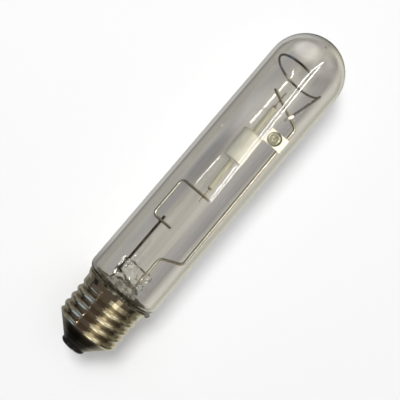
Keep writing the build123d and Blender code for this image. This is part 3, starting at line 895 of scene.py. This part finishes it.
# %% [markdown]
# ## Light
# Glass and plating only show what they mirror, so the studio has two kinds of light. A soft key and a
# wide fill make the white of the table and the lamp's one soft shadow, and nothing mirrors them. The
# others are there to be mirrored: a warm lamp with a wide glow round it, a cool card on the other side
# and narrow tubes that leave the streaks. In a real studio flags and black cloth would keep each light
# off the parts it isn't for. Light linking does that here. The thin seal wires are scaled nearly black,
# so they are left out of the strips and of the light for the bright wires. Each light's brightness is
# given as radiance, because that is what a mirror shows of it.

# %% What each light may reach
pieces = list(nodes.values()) + added
cap_names = ("cap_shell", "cap_insulator", "centre_contact", "flowed_centre_solder", "flowed_side_solder",
             "centre_solder", "side_solder")
outer_names = ("outer_bulb", *cap_names)
seal_names = ("long_seal_wire", "short_seal_wire")
ceramic_names = ("arc_tube", "lower_frit", "upper_frit")
mineral_names = ("cap_insulator", "cap_cement", "cap_shell")
getter_names = ("getter_tab", "getter_pan", "getter_fill", "spring_weld")


def reach_of(name, members):
    """A collection of the pieces that a light is linked to."""
    collection = bpy.data.collections.new(name)
    for member in members:
        collection.objects.link(member)
    print(name, len(members))
    return collection


def pieces_in(names):
    """The pieces with these names."""
    return [piece for piece in pieces if piece.name in names]


def pieces_but(names):
    """All pieces but those with these names."""
    return [piece for piece in pieces if piece.name not in names]


lamp_parts = reach_of("lamp_parts", pieces)
mineral_parts = reach_of("mineral_parts", pieces_in(mineral_names))
metal_parts = reach_of("metal_parts", pieces_but(outer_names + seal_names + ceramic_names + mineral_names))
ceramic_parts = reach_of("ceramic_parts", pieces_in(ceramic_names))
getter_parts = reach_of("getter_parts", pieces_in(getter_names))
glass_parts = reach_of("glass_parts", pieces_but(cap_names + seal_names))
inner_parts = reach_of("inner_parts", pieces_but(outer_names))
table_only = reach_of("table_only", [table])

# %% Hanging a light


def light_spot(side_angle, slope, reach):
    """A spot in the room, seen from the lamp at an angle from the vertical and a slope along the lamp.

    A positive angle is the long wire's side.
    """
    angle = math.radians(side_angle)
    return place(centre_station) + reach * Vector((slope, -math.sin(angle), math.cos(angle)))


def hang_light(name, start, end, width, radiance, colour=(1, 1, 1), mirrored=True, lights=None,
               shades=None):
    """A flat light between two spots, turned to the lamp. Its watts are radiance times pi times area."""
    run = end - start
    data = bpy.data.lights.new(name, "AREA")
    data.shape = "RECTANGLE"
    data.size, data.size_y = run.length, width
    data.energy = radiance * math.pi * run.length * width
    data.color = colour
    light = bpy.data.objects.new(name, data)
    bpy.context.scene.collection.objects.link(light)
    middle = (start + end) / 2
    along = run.normalized()
    away = middle - place(centre_station)
    back = (away - along * away.dot(along)).normalized()
    facing = Matrix((along, back.cross(along), back)).transposed().to_4x4()
    light.matrix_world = Matrix.Translation(middle) @ facing
    light.visible_camera = False
    light.visible_glossy = mirrored
    light.visible_transmission = mirrored
    if lights is None:
        light.visible_diffuse = False
    else:
        light.light_linking.receiver_collection = lights
    if shades is not None:
        light.light_linking.blocker_collection = shades
    print("light", name, "in mm:", round(run.length / MM), "by", round(width / MM))
    return light


def hang_card(name, side_angle, slopes, reach, width, radiance, **more):
    """A light that runs along the lamp, from one slope to another."""
    start, end = (light_spot(side_angle, slope, reach) for slope in slopes)
    hang_light(name, start, end, width, radiance, **more)


# %% Soft light that nothing mirrors
overhead = {"side_angle": 0.0, "slopes": (-1.25, 1.25), "reach": 1.2, "width": 3.0, "mirrored": False}
hang_card("key", -17.0, slopes=(0.13, 0.47), reach=2.1, width=0.72, radiance=19.5, mirrored=False,
          lights=table_only)
hang_card("table_fill", radiance=0.86, lights=table_only, shades=inner_parts, **overhead)
hang_card("fill", radiance=0.68, lights=ceramic_parts, shades=inner_parts, **overhead)
hang_card("dim_fill", radiance=0.80, lights=mineral_parts, **overhead)

# %% Warm lamp and its glow
warm, amber = (1.0, 0.95, 0.76), (1.0, 0.88, 0.66)
end_spots = Vector((1.6, -0.45, 0.03)), Vector((1.6, -0.45, 0.75))
hang_card("warm_lamp", 24.5, slopes=(-0.33, 0.60), reach=0.9, width=0.28, radiance=0.74, colour=warm,
          lights=lamp_parts)
hang_card("rim_glow", 38.0, slopes=(-2.40, -0.36), reach=0.95, width=0.42, radiance=0.40, colour=amber,
          lights=lamp_parts)
hang_card("warm_glow", 30.0, slopes=(-0.27, 0.75), reach=0.95, width=0.90, radiance=0.36, colour=warm,
          lights=lamp_parts)
hang_card("wide_glow", 36.0, slopes=(-0.27, 0.80), reach=1.0, width=1.40, radiance=0.20, colour=warm,
          lights=lamp_parts)
hang_card("far_glow", 42.0, slopes=(0.80, 2.60), reach=0.95, width=1.50, radiance=0.40, colour=warm,
          lights=lamp_parts)
hang_light("end_glow", *end_spots, width=1.3, radiance=0.55, colour=warm, lights=lamp_parts)

# %% [markdown]
# Two tubes of light leave a pair of streaks on the near wall of the bulb and fainter ones on the far
# wall. With plain lights each tube would show on both walls, at places that can't both be right. So
# each strip carries a switch: Transmission Depth tells how many faces of glass a ray has crossed, and
# a strip for the near wall lights only rays that crossed few.

# %% Strips that the glass mirrors
strip_reach = 1.0
near_wall_depth = 2.5


def hang_strip(name, near, start, end, width, radiance):
    """A narrow light between two pairs of angle and slope, for the near wall of the glass or the far one."""
    spots = [light_spot(*spot, strip_reach) for spot in (start, end)]
    strip = hang_light(name, *spots, width, radiance, lights=glass_parts)
    strip.data.use_nodes = True
    tree = strip.data.node_tree
    crossed = add_node(tree, "LightPath").outputs["Transmission Depth"]
    passes = sums(tree, "LESS_THAN" if near else "GREATER_THAN", crossed, near_wall_depth)
    feed(tree, passes, tree.nodes["Emission"].inputs["Strength"])


hang_strip("long_strip", True, (34.4, 0.012), (20.0, 0.286), width=0.020, radiance=24.0)
hang_strip("short_strip", True, (27.5, 0.012), (10.0, 0.270), width=0.015, radiance=24.0)
hang_strip("long_strip_end", True, (20.0, 0.286), (22.0, 1.2), width=0.05, radiance=16.0)
hang_strip("short_strip_end", True, (10.0, 0.270), (25.0, 1.25), width=0.04, radiance=16.0)
hang_strip("long_far_strip", False, (39.2, 0.018), (26.0, 0.315), width=0.030, radiance=22.0)
hang_strip("short_far_strip", False, (29.5, 0.150), (24.5, 0.300), width=0.026, radiance=20.0)

# %% [markdown]
# The wires, the getter and the arc tube mirror or take light of their own, which the bulb in front of
# them would otherwise double as a second streak. So these lights reach only those parts, and only
# parts inside the bulb shade them. The cool card is the blue that the shaded side of the lamp mirrors,
# and the small pink one leaves a single spot on the cap. They could be one large coloured backdrop, but
# then the cap couldn't be balanced without changing the wires.

# %% Light on the parts inside, and what the cool side mirrors
pale_cream, cream, faint_cream = (1.0, 0.97, 0.90), (1.0, 0.97, 0.86), (1.0, 0.98, 0.90)
cool_blue, pink = (0.53, 0.75, 1.0), (1.0, 0.82, 0.78)
hang_card("inner_warm", 34.0, slopes=(-0.10, 0.6), reach=0.8, width=0.20, radiance=4.8, colour=pale_cream,
          lights=metal_parts, shades=inner_parts)
hang_card("getter_glow", 4.0, slopes=(-0.5, 0.75), reach=0.9, width=0.8, radiance=0.94, colour=faint_cream,
          lights=getter_parts, shades=inner_parts)
hang_card("arc_warm", 36.0, slopes=(-0.6, 0.6), reach=0.8, width=0.11, radiance=3.2, colour=cream,
          lights=ceramic_parts, shades=ceramic_parts)
hang_card("cool_card", -66.0, slopes=(-0.20, 1.2), reach=0.9, width=0.58, radiance=0.46, colour=cool_blue)
hang_card("pink_spot", -41.0, slopes=(-0.33, -0.29), reach=0.9, width=0.035, radiance=9.0, colour=pink)

# %% [markdown]
# ## Room
# Beyond the table the camera sees white. What glass shows of the room is a middle grey close to the
# table's, and what metal mirrors of it is a dim brown, as a room with its own lights off would be. An
# image of a real room would bring sharp windows with it, and the photograph has none.

# %% Room
room_white, room_fill = 0.95, 0.05
room_through_glass = (0.505, 0.487, 0.445)
room_in_metal = (0.088, 0.070, 0.058)

world = bpy.data.worlds.new("studio")
world.use_nodes = True
sky = world.node_tree
mirrored, shown, rays = ray_kinds(sky)
unseen = blend_colours(sky, rays.outputs["Is Camera Ray"], grey(room_fill), grey(room_white))
kept = blend_colours(sky, mirrored, room_through_glass, room_in_metal)
feed(sky, blend_colours(sky, shown, unseen, kept), sky.nodes["Background"].inputs["Color"])
bpy.context.scene.world = world
print("world:", world.name)

# %% [markdown]
# Light crosses many faces of glass on its way through the bulb and the stem. With the usual few, the
# places where faces lie behind each other would turn black, so the limit is raised. A few very bright
# paths would leave specks, which more samples could average out. Cutting them off is quicker, at a
# value that lies above every light that is mirrored here.

# %% How light is carried
highlight_limit = 40.0
glass_faces = 28

scene = bpy.context.scene
scene.view_settings.view_transform = "Standard"
scene.cycles.sample_clamp_indirect = highlight_limit
scene.cycles.max_bounces = glass_faces
scene.cycles.transmission_bounces = glass_faces
print("faces of glass that a ray may cross:", scene.cycles.transmission_bounces)
